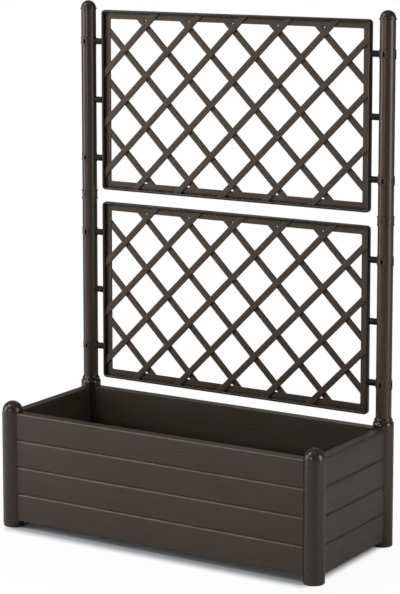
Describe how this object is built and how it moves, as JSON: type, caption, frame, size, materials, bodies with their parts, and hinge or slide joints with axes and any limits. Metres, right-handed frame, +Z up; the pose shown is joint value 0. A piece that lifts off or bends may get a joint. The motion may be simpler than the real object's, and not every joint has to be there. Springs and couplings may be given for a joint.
{
  "type": "planter with trellis",
  "caption": "Long rectangular resin planter box with board-like walls on round corner posts, and two diagonal lattice panels held between tall round rear poles for climbing plants.",
  "frame": {"origin": "on the ground, in the middle of the footprint", "axes": "+Z up, +X to the right seen from the front, +Y towards the back, where the trellis stands"},
  "size_m": [1, 0.43, 1.427],
  "materials": {
    "grained_wall_resin": "moulded dark brown resin with a fine wood grain along the boards",
    "grained_lattice_resin": "moulded dark brown resin with a lengthwise grain on rim and strips",
    "smooth_post_resin": "extruded dark brown resin, satin gloss with faint lengthwise drawing lines",
    "smooth_pole_resin": "extruded dark brown resin, satin gloss with faint lengthwise drawing lines",
    "glossy_cap_resin": "moulded dark brown resin, glossier than the tubes",
    "plain_resin": "plain moulded dark brown resin with a light moulded texture"
  },
  "bodies": {
    "root": {"back_wall": "grained_wall_resin", "floor_panel": "plain_resin", "front_left_cap": "glossy_cap_resin", "front_left_foot": "plain_resin", "front_left_post": "smooth_post_resin", "front_right_cap": "glossy_cap_resin", "front_right_foot": "plain_resin", "front_right_post": "smooth_post_resin", "front_wall": "grained_wall_resin", "left_pole_cap": "glossy_cap_resin", "left_pole_coupler": "smooth_pole_resin", "left_wall": "grained_wall_resin", "lower_left_pins": "plain_resin", "lower_left_pole": "smooth_pole_resin", "lower_right_pins": "plain_resin", "lower_right_pole": "smooth_pole_resin", "lower_trellis": "grained_lattice_resin", "rear_left_collar": "smooth_post_resin", "rear_left_foot": "plain_resin", "rear_left_post": "smooth_post_resin", "rear_right_collar": "smooth_post_resin", "rear_right_foot": "plain_resin", "rear_right_post": "smooth_post_resin", "right_pole_cap": "glossy_cap_resin", "right_pole_coupler": "smooth_pole_resin", "right_wall": "grained_wall_resin", "upper_left_pins": "plain_resin", "upper_left_pole": "smooth_pole_resin", "upper_right_pins": "plain_resin", "upper_right_pole": "smooth_pole_resin", "upper_trellis": "grained_lattice_resin"}
  },
  "joints": []
}
